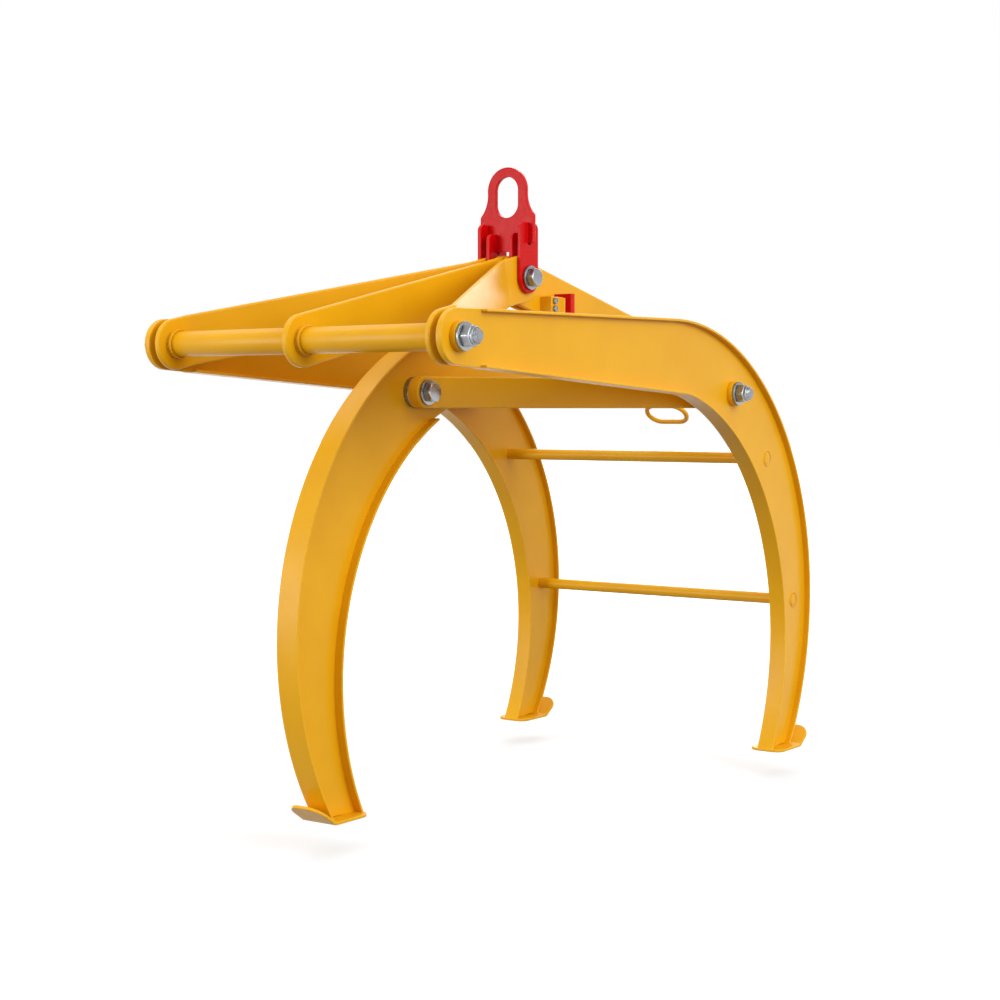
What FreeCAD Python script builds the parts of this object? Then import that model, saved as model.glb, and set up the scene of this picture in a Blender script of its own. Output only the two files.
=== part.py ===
import FreeCAD, Part

import math
import os

# Scissor rock lifter standing open on its three feet. Millimetres, Z up.
# The single claw stands at -X and the pair of claws at +X. The near side is -Y.
# The origin is on the ground under the middle of the machine.

# Claw side profile, seen along Y, written for the pair at +X and mirrored for the single claw
claw_pivot_x = 331.0
claw_pivot_z = 797.0
arm_eye_x = 647.0
arm_eye_rise = 91.0
arm_eye_radius = 48.5
back_arc_x = 80.0
back_arc_radius = 612.0
claw_top_rise = 149.0
jaw_centre_back = 70.0
jaw_centre_drop = 82.0
jaw_radius_step = 58.0
knee_radius = 120.0
knee_offset_x = 100.4
flange_thickness = 5.0
flange_end_from_eye = 67.0

# Pair of claws at +X
claw_plane = 347.0
web_thickness = 12.0
flange_width = 38.0
cross_rod_radius = 12.7
upper_rod_angle = 39.84
upper_rod_inset = 75.0
lower_rod_angle = 7.2
lower_rod_inset = 68.9

# Single claw at -X
single_web_thickness = 14.0
single_flange_width = 50.0
single_top_flange_end_x = 168.0
leg_flange_tip_x = 268.0
arm_flange_start_x = 215.0

# Feet
foot_thickness = 6.0
foot_width = 81.0
foot_heel = 4.1
foot_heel_radius = 23.5
foot_toe_gap = 8.1
foot_toe_length = 62.0
foot_toe_angle = 35.0
foot_toe_radius = 32.0

# Tie frame of two bent bars
tie_thickness = 25.0
tie_end_radius = 31.0
tie_straight_end = 40.0
tie_bend_radius = 14.0
tie_side_gap = 1.0

# Upper links
link_thickness = 10.0
link_half_width = 48.5
link_bend_from_shaft = 38.0
link_bend_from_top = 70.0
link_bend_radius = 12.0
middle_thickness = 12.0
link_side_gap = 2.0
link_rise = 148.0

# Shaft tubes, collars, bushes and bosses
tube_radius = 24.15
tube_wall = 5.0
collar_radius = 28.0
collar_length = 12.0
shaft_bush_length = 14.0
bush_radius = 30.0
single_bush_length = 10.0
boss_radius = 26.0
boss_length = 11.0

# Hanger
cheek_thickness = 8.0
cheek_half_width = 32.0
cheek_corner_radius = 14.0
inner_cheek_face = 25.0
inner_cheek_rise = 93.0
outer_cheek_rise = 114.0
cheek_gap = 14.0
eye_thickness = 10.0
eye_head_radius = 48.3
eye_head_rise = 68.7
eye_slot_radius = 28.5
eye_slot_length = 27.7
eye_shoulder_half = 67.0
eye_shoulder_rise = 16.0
eye_neck_y = 52.0
eye_neck_rise = 39.5
outer_slot_depth = 46.0
inner_slot_depth = 41.0
slot_end_gap = 4.0

# Bolts, nuts and washers
bolt_radius = 12.0
bolt_flats = 36.0
head_height = 15.0
nut_height = 20.0
nut_collar_height = 4.0
nut_collar_radius = 15.5
thread_end = 4.0
thread_tip = 1.5
nut_collar_round = 1.3
washer_radius = 25.0
washer_thickness = 6.0
hex_chamfer_rise = 1.0
hex_chamfer_run = 1.6
fit = 0.05
face_gap = 0.3
open_pivot_clearance = 8.0
tolerance = 0.001

# Latch on the near plate of the single-side link
latch_block_x = 95.0
latch_block_length = 45.0
latch_block_depth = 28.0
latch_block_drop = 45.1
latch_block_height = 39.0
latch_bar_width = 15.0
latch_bar_gap = 8.0
latch_bar_drop = 28.0
latch_lip_height = 8.0
latch_bolt_radius = 4.0
latch_bolt_flats = 13.0
latch_bolt_head = 5.5
latch_bolt_pitch = 17.0
latch_bolt_in = 12.0
latch_bolt_down = 9.0

# Guide handle under the end of the single claw's arm
handle_rod_radius = 5.5
handle_bend_radius = 29.0
handle_straight = 45.8
handle_tilt = 40.6
handle_out = 36.3
handle_drop = 154.6
handle_bracket_thickness = 10.0
handle_bracket_width = 44.0

# Worked out from the values above
arm_eye_z = claw_pivot_z + arm_eye_rise
top_pin_z = arm_eye_z + link_rise
back_arc_z = claw_pivot_z + claw_top_rise - back_arc_radius
jaw_arc_x = back_arc_x - jaw_centre_back
jaw_arc_z = back_arc_z - jaw_centre_drop
jaw_arc_radius = back_arc_radius - jaw_radius_step
inner_cheek_top = top_pin_z + inner_cheek_rise
outer_cheek_top = top_pin_z + outer_cheek_rise
outer_slot_end_z = outer_cheek_top - outer_slot_depth
inner_slot_end_z = inner_cheek_top - inner_slot_depth
outer_tongue_z = outer_slot_end_z + slot_end_gap
inner_tongue_z = inner_slot_end_z + slot_end_gap
eye_head_z = outer_cheek_top + eye_head_rise
eye_slot_low_z = eye_head_z - eye_slot_length
eye_shoulder_z = outer_cheek_top + eye_shoulder_rise
eye_neck_z = outer_cheek_top + eye_neck_rise
web_inner = claw_plane - web_thickness / 2
web_outer = claw_plane + web_thickness / 2
boss_outer = web_outer + boss_length
link_outer = web_inner - shaft_bush_length
link_plane = link_outer - link_thickness / 2
link_inner = link_outer - link_thickness
single_face = single_web_thickness / 2
middle_face = middle_thickness / 2
tie_outer_pair = web_inner - tie_side_gap
tie_plane_pair = tie_outer_pair - tie_thickness / 2
tie_inner_single = single_face + face_gap + single_bush_length
tie_plane_single = tie_inner_single + tie_thickness / 2
tie_outer_single = tie_inner_single + tie_thickness
plain_link_inner = middle_face + link_side_gap
plain_link_outer = plain_link_inner + link_thickness
inner_cheek_outer = inner_cheek_face + cheek_thickness
outer_cheek_inner = inner_cheek_outer + cheek_gap
outer_cheek_outer = outer_cheek_inner + cheek_thickness
top_link_plane = inner_cheek_outer + cheek_gap / 2
link_length = math.hypot(arm_eye_x, link_rise)
link_slope = math.degrees(math.atan2(link_rise, arm_eye_x))
latch_middle_x = latch_block_x + latch_block_length / 2
latch_block_low_z = top_pin_z - link_rise * latch_middle_x / arm_eye_x - latch_block_drop
latch_bar_low_z = latch_block_low_z - latch_bar_drop
latch_bar_x = latch_block_x + latch_block_length + latch_bar_gap
latch_block_outer = plain_link_outer + latch_block_depth
latch_bar_outer = latch_block_outer + latch_bar_width
latch_top_z = latch_block_low_z + latch_block_height
pair_seat = boss_outer + face_gap + washer_thickness
nut_reach = nut_height + nut_collar_height + thread_end


def vector(x, y, z):
    return FreeCAD.Vector(x, y, z)


def flat(x, z):
    """Point of a side profile, in the plane Y = 0."""
    return vector(x, 0, z)


def unit(v):
    return v * (1.0 / v.Length)


def line(a, b):
    return Part.LineSegment(a, b).toShape()


def arc(a, middle, b):
    return Part.Arc(a, middle, b).toShape()


def plate(edges, y_low, y_high):
    """Side profile in the plane Y = 0 made into a plate between two Y values."""
    face = Part.Face(Part.Wire(Part.__sortEdges__(edges)))
    face.translate(vector(0, y_low, 0))
    return face.extrude(vector(0, y_high - y_low, 0))


def bar(x, z, radius, y_low, y_high):
    """Round bar along Y."""
    return Part.makeCylinder(radius, y_high - y_low, vector(x, y_low, z), vector(0, 1, 0))


def end_edge(shape, y):
    """The round edge of a bar at one of its ends."""
    circles = [e for e in shape.Edges if isinstance(e.Curve, Part.Circle)]
    return [e for e in circles if abs(e.Curve.Center.y - y) < tolerance]


def ring(x, z, radius, hole, y_low, y_high):
    return bar(x, z, radius, y_low, y_high).cut(bar(x, z, hole, y_low - 1, y_high + 1))


def bored(shape, x, z, hole):
    return shape.cut(bar(x, z, hole, -2 * claw_plane, 2 * claw_plane))


def polygon(points, y_low, y_high):
    corners = [flat(x, z) for x, z in points]
    edges = [line(a, b) for a, b in zip(corners, corners[1:] + corners[:1])]
    return plate(edges, y_low, y_high)


def mirrored(shape, normal):
    return shape.mirror(vector(0, 0, 0), normal)


def across(shape):
    """The same piece on the far side, mirrored about Y = 0."""
    return mirrored(shape, vector(0, 1, 0))


def opposite(shape):
    """The same piece at the other jaw, mirrored about X = 0."""
    return mirrored(shape, vector(1, 0, 0))


def hexagon(x, z, flats, y_low, y_high):
    """Hexagon prism along Y with both ends of its corners turned off."""
    corner = flats / math.sqrt(3)
    angles = [math.radians(60 * step) for step in range(6)]
    prism = polygon([(x + corner * math.cos(a), z + corner * math.sin(a)) for a in angles], y_low, y_high)
    blank = bar(x, z, corner, y_low, y_high)
    rims = [edge for edge in blank.Edges if isinstance(edge.Curve, Part.Circle)]
    return prism.common(blank.makeChamfer(hex_chamfer_rise, hex_chamfer_run, rims))


def bolt(x, z, seat, end, flats=bolt_flats, radius=bolt_radius, head=head_height):
    """Bolt along Y with its head outside seat and its shank running to end."""
    away = math.copysign(1.0, seat - end)
    head_ends = sorted((seat, seat + away * head))
    shank_ends = sorted((end, seat))
    shank = bar(x, z, radius, *shank_ends)
    shank = shank.makeChamfer(thread_tip, end_edge(shank, end))
    return shank.fuse(hexagon(x, z, flats, *head_ends)).removeSplitter()


def lock_nut(x, z, seat, away):
    """Nut with the round collar of its locking insert, away from seat along Y."""
    top = seat + away * nut_height
    outer = top + away * nut_collar_height
    body = hexagon(x, z, bolt_flats, *sorted((seat, top)))
    collar = bar(x, z, nut_collar_radius, *sorted((top, outer)))
    collar = collar.makeFillet(nut_collar_round, end_edge(collar, outer))
    return bored(body.fuse(collar).removeSplitter(), x, z, bolt_radius + fit)


def washer(x, z, seat, away):
    return ring(x, z, washer_radius, bolt_radius + fit, *sorted((seat, seat + away * washer_thickness)))


def tangent_normal(centre_a, radius_a, centre_b, radius_b, upward):
    """Unit normal of the line touching two circles; a negative radius is touched on its other side."""
    run = centre_b - centre_a
    turn = math.acos((radius_a - radius_b) / run.Length)
    heading = math.atan2(run.z, run.x) + (turn if upward else -turn)
    return flat(math.cos(heading), math.sin(heading))


def claw_layout():
    """Centres and directions of the claw's profile: eye, back arc, jaw arc and knee between arm and jaw."""
    eye = flat(-arm_eye_x, arm_eye_z)
    back = flat(back_arc_x, back_arc_z)
    jaw = flat(jaw_arc_x, jaw_arc_z)
    reach = jaw_arc_radius - knee_radius
    knee = jaw + flat(knee_offset_x, math.sqrt(reach ** 2 - knee_offset_x ** 2))
    up = tangent_normal(eye, arm_eye_radius, back, back_arc_radius, True)
    down = tangent_normal(eye, arm_eye_radius, knee, -knee_radius, False)
    return eye, back, jaw, knee, up, down


def on_arc(centre, radius, z):
    return flat(centre.x + math.sqrt(radius ** 2 - (z - centre.z) ** 2), z)


def between(centre, radius, a, b):
    return centre + unit(unit(a - centre) + unit(b - centre)) * radius


def back_edge(depth, start):
    """Top of the arm and back of the leg, set in by depth, from the point at start along the line."""
    eye, back, jaw, knee, up, down = claw_layout()
    radius = back_arc_radius - depth
    touch = back + up * radius
    first = eye + up * (arm_eye_radius - depth) + unit(touch - eye - up * (arm_eye_radius - depth)) * start
    foot = on_arc(back, radius, foot_thickness)
    return [line(first, touch), arc(touch, between(back, radius, touch, foot), foot)], first, foot


def jaw_edge(depth, start):
    """Underside of the arm, knee and jaw side of the leg, set in by depth."""
    eye, back, jaw, knee, up, down = claw_layout()
    low = eye + down * (arm_eye_radius - depth)
    touch = knee - down * (knee_radius + depth)
    first = low + unit(touch - low) * start
    joint = jaw + unit(knee - jaw) * (jaw_arc_radius + depth)
    foot = on_arc(jaw, jaw_arc_radius + depth, foot_thickness)
    edges = [
        line(first, touch),
        arc(touch, between(knee, knee_radius + depth, touch, joint), joint),
        arc(joint, between(jaw, jaw_arc_radius + depth, joint, foot), foot),
    ]
    return edges, first, foot


def flange(edge, start, half_width):
    """Flat bar bent along an edge of the web, square at its ends, centred on the web."""
    outside, outer_first, outer_foot = edge(0.0, start)
    inside, inner_first, inner_foot = edge(flange_thickness, start)
    ends = [line(outer_first, inner_first), line(outer_foot, inner_foot)]
    return plate(outside + inside + ends, -half_width, half_width)


def claw_outline():
    eye, back, jaw, knee, up, down = claw_layout()
    top, top_first, top_foot = back_edge(0.0, 0.0)
    low, low_first, low_foot = jaw_edge(0.0, 0.0)
    round_end = arc(low_first, eye - flat(arm_eye_radius, 0), top_first)
    return top + low + [round_end, line(top_foot, low_foot)]


def claw_web(thickness, flanges):
    """Web of one claw, centred on Y = 0, let in where its flanges lie and bored for its two pins."""
    web = plate(claw_outline(), -thickness / 2, thickness / 2)
    for piece in flanges:
        web = web.cut(piece)
    web = bored(web, -arm_eye_x, arm_eye_z, bolt_radius + fit)
    return bored(web, claw_pivot_x, claw_pivot_z, bolt_radius + fit)


def single_flanges():
    """Back, leg and arm flanges of the single claw; the jaw side is cut away beside the tie bars."""
    top_start = arm_eye_x - single_top_flange_end_x
    back_flange = flange(back_edge, top_start, single_flange_width / 2)
    jaw_flange = flange(jaw_edge, flange_end_from_eye, single_flange_width / 2)
    size = 3 * claw_plane
    leg_side = Part.makeBox(size, size, size, vector(leg_flange_tip_x, -size / 2, -1))
    arm_side = Part.makeBox(size, size, size, vector(arm_flange_start_x - size, -size / 2, -1))
    return back_flange, jaw_flange.common(leg_side), jaw_flange.common(arm_side)


def foot_ends():
    """Inner end of the foot and the bend of its toe, just outside the two flanges."""
    eye, back, jaw, knee, up, down = claw_layout()
    heel = on_arc(jaw, jaw_arc_radius, foot_thickness).x - foot_heel
    return heel, on_arc(back, back_arc_radius, foot_thickness).x + foot_toe_gap


def foot_plate():
    """Flat foot with its outer end bent up as a toe, centred on Y = 0."""
    inner_x, bend_x = foot_ends()
    lean = math.radians(foot_toe_angle)
    toe = flat(bend_x + foot_toe_length * math.cos(lean), foot_toe_length * math.sin(lean))
    shift = flat(-foot_thickness * math.sin(lean), foot_thickness * math.cos(lean))
    half_turn = foot_thickness * math.tan(lean / 2)
    points = [
        (inner_x, 0),
        (bend_x, 0),
        (toe.x, toe.z),
        (toe.x + shift.x, toe.z + shift.z),
        (bend_x - half_turn, foot_thickness),
        (inner_x, foot_thickness),
    ]
    foot = polygon(points, -foot_width / 2, foot_width / 2)
    foot = foot.makeFillet(foot_heel_radius, corners_between(foot, 0, (inner_x + bend_x) / 2))
    return foot.makeFillet(foot_toe_radius, corners_between(foot, (bend_x + toe.x) / 2, 2 * toe.x))


def corners_between(shape, x_low, x_high):
    """Edges through the thickness at the corners of a foot, between two X values."""
    corners = []
    for edge in shape.Edges:
        a, b = edge.Vertexes[0].Point, edge.Vertexes[-1].Point
        through = abs(a.y - b.y) < tolerance and abs(edge.Length - foot_thickness) < tolerance
        if through and x_low < min(a.x, b.x) and max(a.x, b.x) < x_high:
            corners.append(edge)
    return corners


def bent_strip(path, thickness, height, bend_radius):
    """Flat bar on edge, bent along a path of (x, y) points in plan, from -height to +height in Z."""
    points = [vector(x, y, 0) for x, y in path]
    headings = [unit(b - a) for a, b in zip(points, points[1:])]
    normals = [vector(-h.y, h.x, 0) for h in headings]
    sides = [normals[0]]
    for before, after in zip(normals, normals[1:]):
        both = before + after
        sides.append(both * (2.0 / both.dot(both)))
    sides.append(normals[-1])
    left = [p + s * (thickness / 2) for p, s in zip(points, sides)]
    right = [p - s * (thickness / 2) for p, s in zip(points, sides)]
    loop = left + right[::-1]
    edges = [line(a, b) for a, b in zip(loop, loop[1:] + loop[:1])]
    strip = Part.Face(Part.Wire(edges)).extrude(vector(0, 0, 2 * height))
    for index in range(1, len(points) - 1):
        left_turn = normals[index].dot(headings[index - 1]) < 0
        inner, outer = (left[index], right[index]) if left_turn else (right[index], left[index])
        strip = strip.makeFillet(bend_radius, upright_at(strip, inner))
        strip = strip.makeFillet(bend_radius + thickness, upright_at(strip, outer))
    strip.translate(vector(0, 0, -height))
    return strip


def upright_at(shape, point):
    """The vertical edge of a solid that passes through a point in plan."""
    return [e for e in shape.Edges if all(is_above(v.Point, point) for v in e.Vertexes)]


def is_above(a, b):
    return math.hypot(a.x - b.x, a.y - b.y) < tolerance


def round_ended(start, end, radius, y_low, y_high):
    """Strip with round ends about two points of a side profile."""
    along = unit(end - start)
    side = flat(-along.z, along.x) * radius
    edges = [
        line(start + side, end + side),
        arc(end + side, end + along * radius, end - side),
        line(end - side, start - side),
        arc(start - side, start - along * radius, start + side),
    ]
    return plate(edges, y_low, y_high)


def tie_bar():
    """Near bar: beside the single claw at -X, bent out to the near claw of the pair at +X."""
    bend_x = claw_pivot_x - tie_straight_end
    reach = claw_pivot_x + 2 * tie_end_radius
    path = [
        (-reach, -tie_plane_single),
        (-bend_x, -tie_plane_single),
        (bend_x, -tie_plane_pair),
        (reach, -tie_plane_pair),
    ]
    strip = bent_strip(path, tie_thickness, 2 * tie_end_radius, tie_bend_radius)
    strip.translate(flat(0, claw_pivot_z))
    low, high = flat(-claw_pivot_x, claw_pivot_z), flat(claw_pivot_x, claw_pivot_z)
    shape = strip.common(round_ended(low, high, tie_end_radius, -claw_plane, 0))
    shape = bored(shape, -claw_pivot_x, claw_pivot_z, bolt_radius + fit)
    return bored(shape, claw_pivot_x, claw_pivot_z, bolt_radius + fit)


def placed_link(shape):
    """A link drawn along X from the shaft, turned to its slope and moved to the shaft."""
    shape.rotate(vector(0, 0, 0), vector(0, 1, 0), -link_slope)
    shape.translate(flat(-arm_eye_x, arm_eye_z))
    return shape


def link_strip(y_low, y_high):
    return round_ended(flat(0, 0), flat(link_length, 0), link_half_width, y_low, y_high)


def bent_link():
    """Near plate of the pair-side link, bent in from the shaft end to the top pin."""
    path = [
        (-2 * link_half_width, -link_plane),
        (link_bend_from_shaft, -link_plane),
        (link_length - link_bend_from_top, -top_link_plane),
        (link_length + 2 * link_half_width, -top_link_plane),
    ]
    strip = bent_strip(path, link_thickness, 2 * link_half_width, link_bend_radius)
    shape = placed_link(strip.common(link_strip(-claw_plane, 0)))
    return link_bores(shape, bolt_radius + fit)


def link_bores(shape, top_hole):
    shape = bored(shape, -arm_eye_x, arm_eye_z, bolt_radius + fit)
    return bored(shape, 0, top_pin_z, top_hole)


def middle_link():
    return link_bores(placed_link(link_strip(-middle_face, middle_face)), bolt_radius + fit)


def plain_link():
    """Near plate of the single-side link; its hole on the top pin is the open pivot."""
    shape = placed_link(link_strip(-plain_link_outer, -plain_link_inner))
    return opposite(link_bores(shape, bolt_radius + open_pivot_clearance))


def shaft_tube():
    return ring(-arm_eye_x, arm_eye_z, tube_radius, tube_radius - tube_wall, -link_inner, -middle_face)


def shaft_collars():
    near = [
        ring(-arm_eye_x, arm_eye_z, collar_radius, tube_radius, -link_inner, -link_inner + collar_length),
        ring(-arm_eye_x, arm_eye_z, collar_radius, tube_radius, -middle_face - collar_length, -middle_face),
    ]
    return near + [across(piece) for piece in near]


def cheek(face, top, slot_end):
    """Near cheek of the hanger between two Y values, slotted from its top for the eye plate."""
    half, corner = cheek_half_width, cheek_corner_radius
    diagonal = corner * (1 - math.sqrt(0.5))
    edges = [
        arc(flat(-half, top_pin_z), flat(0, top_pin_z - half), flat(half, top_pin_z)),
        line(flat(half, top_pin_z), flat(half, top - corner)),
        arc(flat(half, top - corner), flat(half - diagonal, top - diagonal), flat(half - corner, top)),
        line(flat(half - corner, top), flat(corner - half, top)),
        arc(flat(corner - half, top), flat(diagonal - half, top - diagonal), flat(-half, top - corner)),
        line(flat(-half, top - corner), flat(-half, top_pin_z)),
    ]
    shape = plate(edges, -face - cheek_thickness, -face)
    corner = vector(-eye_thickness / 2, -face - 1.5 * cheek_thickness, slot_end)
    slot = Part.makeBox(eye_thickness, 2 * cheek_thickness, top, corner)
    return bored(shape.cut(slot), 0, top_pin_z, bolt_radius + fit)


def upright(y, z):
    """Point of the eye plate's profile, in the plane X = 0."""
    return vector(0, y, z)


def eye_side(s):
    """One side of the eye plate, from the round head down to the end of its tongue."""
    corners = [
        upright(s * eye_shoulder_half, eye_shoulder_z),
        upright(s * eye_shoulder_half, outer_tongue_z),
        upright(s * inner_cheek_outer, outer_tongue_z),
        upright(s * inner_cheek_outer, inner_tongue_z),
    ]
    neck = arc(upright(s * eye_head_radius, eye_head_z), upright(s * eye_neck_y, eye_neck_z), corners[0])
    return [neck] + [line(a, b) for a, b in zip(corners, corners[1:])]


def half_turn(radius, z, way):
    return arc(upright(-radius, z), upright(0, z + way * radius), upright(radius, z))


def eye_plate():
    """Lifting plate across the cheeks: round head with a long eye, and sides that go down through the slots."""
    head = half_turn(eye_head_radius, eye_head_z, 1)
    foot = line(upright(-inner_cheek_outer, inner_tongue_z), upright(inner_cheek_outer, inner_tongue_z))
    r = eye_slot_radius
    eye = [
        half_turn(r, eye_head_z, 1),
        line(upright(r, eye_head_z), upright(r, eye_slot_low_z)),
        half_turn(r, eye_slot_low_z, -1),
        line(upright(-r, eye_slot_low_z), upright(-r, eye_head_z)),
    ]
    return lengthwise(eye_side(-1) + eye_side(1) + [head, foot]).cut(lengthwise(eye))


def lengthwise(edges):
    """Profile in the plane X = 0 made into a plate of the eye's thickness."""
    face = Part.Face(Part.Wire(Part.__sortEdges__(edges)))
    face.translate(vector(-eye_thickness / 2, 0, 0))
    return face.extrude(vector(eye_thickness, 0, 0))


def handle_points():
    """Middle of the guide handle's two straight bars, the low one first."""
    tilt = math.radians(handle_tilt)
    low = flat(arm_eye_x + handle_out, arm_eye_z - handle_drop)
    return low, low - flat(math.cos(tilt), -math.sin(tilt)) * (2 * handle_bend_radius)


def guide_handle():
    """Round rod bent to a closed oval that slopes out and down."""
    low, high = handle_points()
    centre = (low + high) * 0.5
    side = vector(0, handle_straight / 2, 0)
    out = vector(0, handle_straight / 2 + handle_bend_radius, 0)
    path = Part.Wire([
        line(low - side, low + side),
        arc(low + side, centre + out, high + side),
        line(high + side, high - side),
        arc(high - side, centre - out, low - side),
    ])
    circle = Part.Wire([Part.makeCircle(handle_rod_radius, low - side, vector(0, 1, 0))])
    return path.makePipeShell([circle], True, False)


def handle_bracket():
    """Upright plate that carries the handle's upper bar below the arm of the single claw."""
    low, high = handle_points()
    half = handle_bracket_width / 2
    points = [
        (high.x - half, arm_eye_z),
        (high.x + half, arm_eye_z),
        (high.x + 2 * handle_rod_radius, high.z),
        (high.x - 2 * handle_rod_radius, high.z),
    ]
    bracket = polygon(points, -handle_bracket_thickness / 2, handle_bracket_thickness / 2)
    bracket = bracket.cut(opposite(plate(claw_outline(), -claw_plane, claw_plane)))
    return bracket.cut(bar(high.x, high.z, handle_rod_radius, -claw_plane, claw_plane))


def latch():
    """Block screwed to the near plate of the single-side link, with the catch bar standing off it."""
    low, high = -latch_block_outer, -plain_link_outer
    top = latch_top_z
    corner = vector(latch_block_x, low, latch_block_low_z)
    block = Part.makeBox(latch_block_length, latch_block_depth, latch_block_height, corner)
    bar_low = -latch_bar_outer
    rise = top + latch_lip_height - latch_bar_low_z
    width = latch_bar_width
    upright_bar = Part.makeBox(width, width, rise, vector(latch_bar_x, bar_low, latch_bar_low_z))
    lip = Part.makeBox(width, high - bar_low, latch_lip_height, vector(latch_bar_x, bar_low, top))
    bolt_x = latch_block_x + latch_bolt_in
    bolts = []
    for bolt_z in (top - latch_bolt_down, top - latch_bolt_down - latch_bolt_pitch):
        bolts.append(bolt(bolt_x, bolt_z, low, high, latch_bolt_flats, latch_bolt_radius, latch_bolt_head))
        block = bored(block, bolt_x, bolt_z, latch_bolt_radius)
    return block, upright_bar.fuse(lip).removeSplitter(), bolts


def pair(piece):
    """A piece and its mirror image on the far side."""
    return [piece, across(piece)]


def both_sides(name, piece):
    return {"near_" + name: piece, "far_" + name: across(piece)}


def boss(x, z):
    return ring(x, z, boss_radius, bolt_radius + fit, -boss_outer, -web_outer)


def claw_pair():
    """The two claws of the pair with the two round bars that join them."""
    back_flange = flange(back_edge, flange_end_from_eye, flange_width / 2)
    jaw_flange = flange(jaw_edge, flange_end_from_eye, flange_width / 2)
    web = claw_web(web_thickness, [back_flange, jaw_flange])
    nodes = {}
    rods = (("upper", upper_rod_angle, upper_rod_inset), ("lower", lower_rod_angle, lower_rod_inset))
    for name, angle, inset in rods:
        x = jaw_arc_x + (jaw_arc_radius + inset) * math.cos(math.radians(angle))
        z = jaw_arc_z + (jaw_arc_radius + inset) * math.sin(math.radians(angle))
        web = bored(web, x, z, cross_rod_radius)
        nodes[name + "_cross_rod"] = bar(x, z, cross_rod_radius, -web_outer, web_outer)
    centred = {"claw_web": web, "back_flange": back_flange, "jaw_flange": jaw_flange, "foot": foot_plate()}
    for name, piece in centred.items():
        piece.translate(vector(0, -claw_plane, 0))
        nodes.update(both_sides(name, piece))
    nodes.update(both_sides("pivot_boss", boss(claw_pivot_x, claw_pivot_z)))
    nodes.update(both_sides("shaft_boss", boss(-arm_eye_x, arm_eye_z)))
    return nodes


def single_claw():
    """The single claw with its guide handle."""
    flanges = single_flanges()
    nodes = {"single_claw_web": opposite(claw_web(single_web_thickness, flanges))}
    for name, piece in zip(["back", "leg", "arm"], flanges):
        nodes["single_" + name + "_flange"] = opposite(piece)
    nodes["single_foot"] = opposite(foot_plate())
    nodes["guide_handle"] = guide_handle()
    nodes["handle_bracket"] = handle_bracket()
    return nodes


def tie_frame():
    """The two tie bars with the pivot bolts of the claws."""
    x, z = claw_pivot_x, claw_pivot_z
    single_seat = tie_outer_single + washer_thickness
    inner_seat = tie_outer_pair - tie_thickness
    bush = ring(-x, z, bush_radius, bolt_radius + fit, -tie_inner_single, -single_face - face_gap)
    nodes = both_sides("tie_bar", tie_bar())
    nodes["single_pivot_bushes"] = pair(bush)
    nodes["single_pivot_bolt"] = bolt(-x, z, -single_seat, single_seat + nut_reach)
    nodes["pair_pivot_bolts"] = pair(bolt(x, z, washer_thickness - inner_seat, -pair_seat - nut_reach))
    nodes["pivot_washers"] = (pair(washer(-x, z, -tie_outer_single, -1)) + pair(washer(x, z, -inner_seat, 1))
                              + pair(washer(x, z, -pair_seat + washer_thickness, -1)))
    nodes["pivot_nuts"] = pair(lock_nut(x, z, -pair_seat, -1)) + [lock_nut(-x, z, single_seat, 1)]
    return nodes


def bent_links():
    """The links of the pair side with the long shaft in its tubes."""
    x, z = -arm_eye_x, arm_eye_z
    nodes = both_sides("bent_link", bent_link())
    nodes["middle_link"] = middle_link()
    nodes.update(both_sides("shaft_tube", shaft_tube()))
    nodes["shaft_collars"] = shaft_collars()
    bush = ring(x, z, bush_radius, bolt_radius + fit, face_gap - web_inner, -link_outer)
    nodes["shaft_bushes"] = pair(bush)
    nodes["shaft_bolt"] = bolt(x, z, pair_seat, -pair_seat - nut_reach)
    nodes["shaft_washers"] = pair(washer(x, z, -pair_seat + washer_thickness, -1))
    nodes["shaft_nut"] = lock_nut(x, z, -pair_seat, -1)
    return nodes


def plain_links():
    """The links of the single side with their bolt and the latch."""
    x, z = arm_eye_x, arm_eye_z
    seat = plain_link_outer + washer_thickness
    nodes = both_sides("plain_link", plain_link())
    nodes["link_bolt"] = bolt(x, z, -seat, seat + nut_reach)
    nodes["link_washers"] = pair(washer(x, z, -plain_link_outer, -1))
    nodes["link_nut"] = lock_nut(x, z, seat, 1)
    nodes["latch_block"], nodes["latch_catch"], nodes["latch_bolts"] = latch()
    return nodes


def hanger():
    """The lifting plate and its four cheeks."""
    nodes = {"eye_plate": eye_plate()}
    nodes.update(both_sides("inner_cheek", cheek(inner_cheek_face, inner_cheek_top, inner_slot_end_z)))
    nodes.update(both_sides("outer_cheek", cheek(outer_cheek_inner, outer_cheek_top, outer_slot_end_z)))
    return nodes


def top_pin():
    """The pin that joins the links and the hanger, with its washers, nut and spacers."""
    z = top_pin_z
    face = outer_cheek_outer + face_gap
    seat = face + washer_thickness
    nodes = {"top_pin": bolt(0, z, -seat, seat + nut_reach)}
    nodes["top_pin_washers"] = pair(washer(0, z, -face, -1))
    nodes["top_pin_nut"] = lock_nut(0, z, seat, 1)
    nodes["top_pin_spacers"] = pair(ring(0, z, washer_radius, bolt_radius + fit,
                                         face_gap - inner_cheek_face, -plain_link_outer - face_gap))
    return nodes


os.makedirs("parts", exist_ok=True)
for group in (claw_pair, single_claw, tie_frame, bent_links, plain_links, hanger, top_pin):
    for node, shape in group().items():
        whole = Part.makeCompound(shape) if isinstance(shape, list) else shape
        whole.exportStep("parts/" + node + ".step")
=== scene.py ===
import bmesh
import bpy
import numpy as np
from mathutils import Matrix, Vector


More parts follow.
